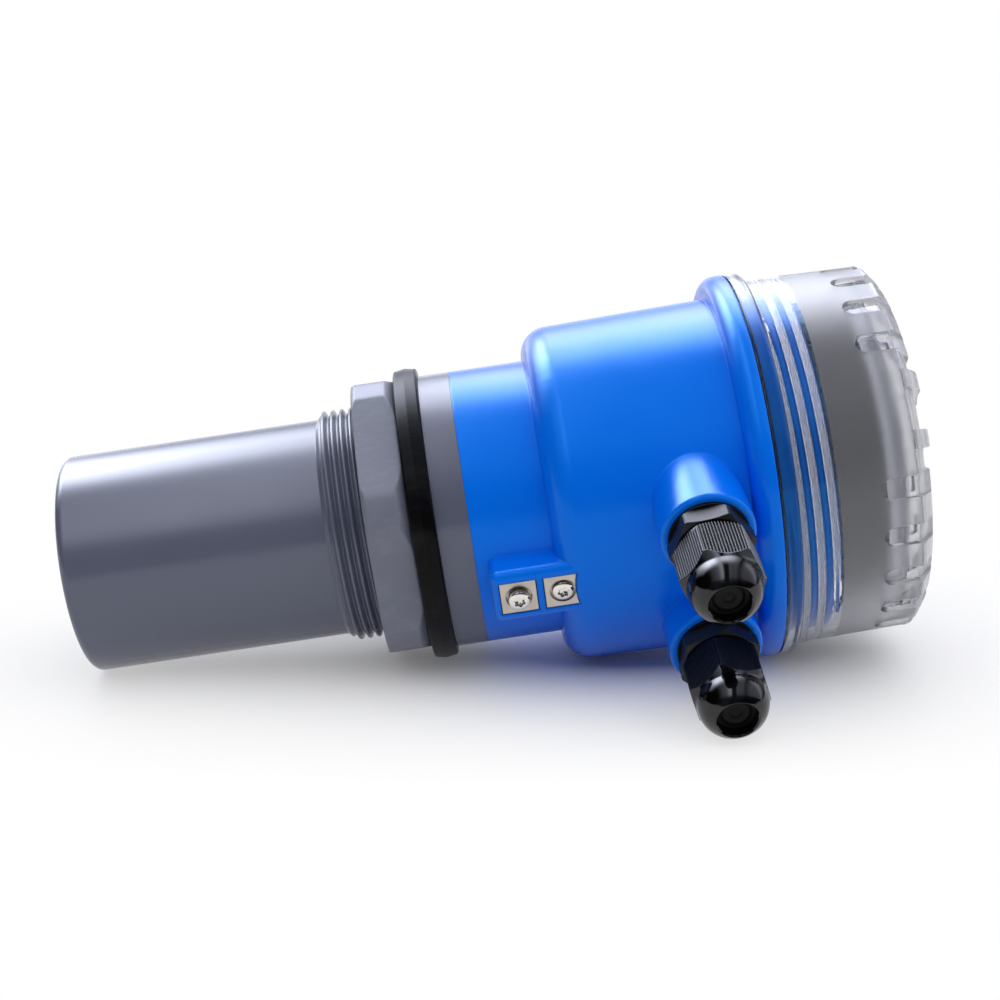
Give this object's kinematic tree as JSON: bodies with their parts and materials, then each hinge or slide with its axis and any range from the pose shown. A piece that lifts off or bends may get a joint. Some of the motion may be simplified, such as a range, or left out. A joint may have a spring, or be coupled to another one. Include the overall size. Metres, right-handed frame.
{
  "type": "ultrasonic level sensor",
  "caption": "Upright ultrasonic level sensor: closed transducer tube with process thread and lock nut, round housing with parallel cable glands, clear screw lid over a display.",
  "frame": {"origin": "centre of the sensor face, the closed flat end of the transducer tube", "axes": "+Z along the sensor axis from the sensor face to the clear lid, -Y along the parallel cable glands"},
  "size_m": [0.0988, 0.1279, 0.2143],
  "materials": {
    "grey_pvc": "satin",
    "epoxy_foam": "matte",
    "piezo_ceramic": "matte",
    "soft_rubber": "matte",
    "potting_resin": "gloss",
    "steel": "brushed",
    "lead_jacket": "gloss",
    "black_rubber": "matte",
    "grey_nut_plastic": "matte",
    "blue_plastic": "satin",
    "nickel_steel": "polished",
    "brass": "turned",
    "nickel_plate": "brushed",
    "clear_polycarbonate": "clear gloss",
    "dark_plastic": "matte",
    "green_board": "satin",
    "ferrite": "matte",
    "can_aluminium": "satin",
    "terminal_plastic": "matte",
    "lcd_grey": "gloss",
    "window_clear": "clear gloss",
    "black_nylon": "satin",
    "key_rubber": "matte"
  },
  "bodies": {
    "housing": {"transducer_shell": "grey_pvc", "matching_layer": "epoxy_foam", "piezo_disc": "piezo_ceramic", "piezo_sleeve": "soft_rubber", "backing_disc": "soft_rubber", "transducer_potting": "potting_resin", "temperature_probe": "steel", "transducer_leads": "lead_jacket", "shell_seal": "soft_rubber", "main_housing": "blue_plastic", "earth_screws": "nickel_steel", "earth_inserts": "brass", "earth_plate_lower": "nickel_plate", "earth_plate_upper": "nickel_plate", "electronics_cup": "dark_plastic", "main_board": "green_board", "board_screws": "steel", "drive_transformer": "ferrite", "board_capacitors": "can_aluminium", "wire_terminals": "terminal_plastic", "terminal_screws": "steel", "display_posts": "brass", "display_module": "dark_plastic", "module_screws": "steel", "display_board": "green_board", "lcd_panel": "lcd_grey", "display_window": "window_clear", "key_switches": "dark_plastic", "gland_washer_left": "black_rubber", "gland_body_left": "black_nylon", "gland_washer_right": "black_rubber", "gland_body_right": "black_nylon"},
    "lid_seal": {"lid_seal": "black_rubber"},
    "lid": {"lid": "clear_polycarbonate"},
    "process_gasket": {"process_gasket": "black_rubber"},
    "lock_nut": {"lock_nut": "grey_nut_plastic"},
    "seal_bush_left": {"seal_bush_left": "black_rubber"},
    "dome_nut_left": {"dome_nut_left": "black_nylon"},
    "seal_bush_right": {"seal_bush_right": "black_rubber"},
    "dome_nut_right": {"dome_nut_right": "black_nylon"},
    "display_key_1": {"display_key_1": "key_rubber"},
    "display_key_2": {"display_key_2": "key_rubber"},
    "display_key_3": {"display_key_3": "key_rubber"},
    "display_key_4": {"display_key_4": "key_rubber"}
  },
  "joints": [
    {"name": "lid_travel", "type": "slide", "parent": "housing", "child": "lid_seal", "axis": [0, 0, 1], "range_m": [0, 0.00937]},
    {"name": "lid_turn", "type": "hinge", "parent": "lid_seal", "child": "lid", "pos_m": [0, 0, 0.19], "axis": [0, 0, 1], "range_deg": [0, 902]},
    {"name": "lock_nut_travel", "type": "slide", "parent": "housing", "child": "process_gasket", "axis": [0, 0, -1], "range_m": [0, 0.00924]},
    {"name": "lock_nut_turn", "type": "hinge", "parent": "process_gasket", "child": "lock_nut", "pos_m": [0, 0, 0.0812], "axis": [0, 0, -1], "range_deg": [0, 1442]},
    {"name": "left_gland_travel", "type": "slide", "parent": "housing", "child": "seal_bush_left", "axis": [0, -1, 0], "range_m": [0, 0.0045]},
    {"name": "left_gland_turn", "type": "hinge", "parent": "seal_bush_left", "child": "dome_nut_left", "pos_m": [-0.0166, -0.068, 0.155], "axis": [0, -1, 0], "range_deg": [0, 1082]},
    {"name": "right_gland_travel", "type": "slide", "parent": "housing", "child": "seal_bush_right", "axis": [0, -1, 0], "range_m": [0, 0.0045]},
    {"name": "right_gland_turn", "type": "hinge", "parent": "seal_bush_right", "child": "dome_nut_right", "pos_m": [0.0166, -0.068, 0.155], "axis": [0, -1, 0], "range_deg": [0, 1082]},
    {"name": "key_1_press", "type": "slide", "parent": "housing", "child": "display_key_1", "axis": [0, 0, -1], "range_m": [0, 0.0008], "stiffness_N_per_m": 1500},
    {"name": "key_2_press", "type": "slide", "parent": "housing", "child": "display_key_2", "axis": [0, 0, -1], "range_m": [0, 0.0008], "stiffness_N_per_m": 1500},
    {"name": "key_3_press", "type": "slide", "parent": "housing", "child": "display_key_3", "axis": [0, 0, -1], "range_m": [0, 0.0008], "stiffness_N_per_m": 1500},
    {"name": "key_4_press", "type": "slide", "parent": "housing", "child": "display_key_4", "axis": [0, 0, -1], "range_m": [0, 0.0008], "stiffness_N_per_m": 1500}
  ],
  "couplings": [
    {"joint": "lid_turn", "follows": "lid_travel", "rad_per_m": 1675.5},
    {"joint": "lock_nut_turn", "follows": "lock_nut_travel", "rad_per_m": 2721.2},
    {"joint": "left_gland_turn", "follows": "left_gland_travel", "rad_per_m": 4188.8},
    {"joint": "right_gland_turn", "follows": "right_gland_travel", "rad_per_m": 4188.8}
  ]
}
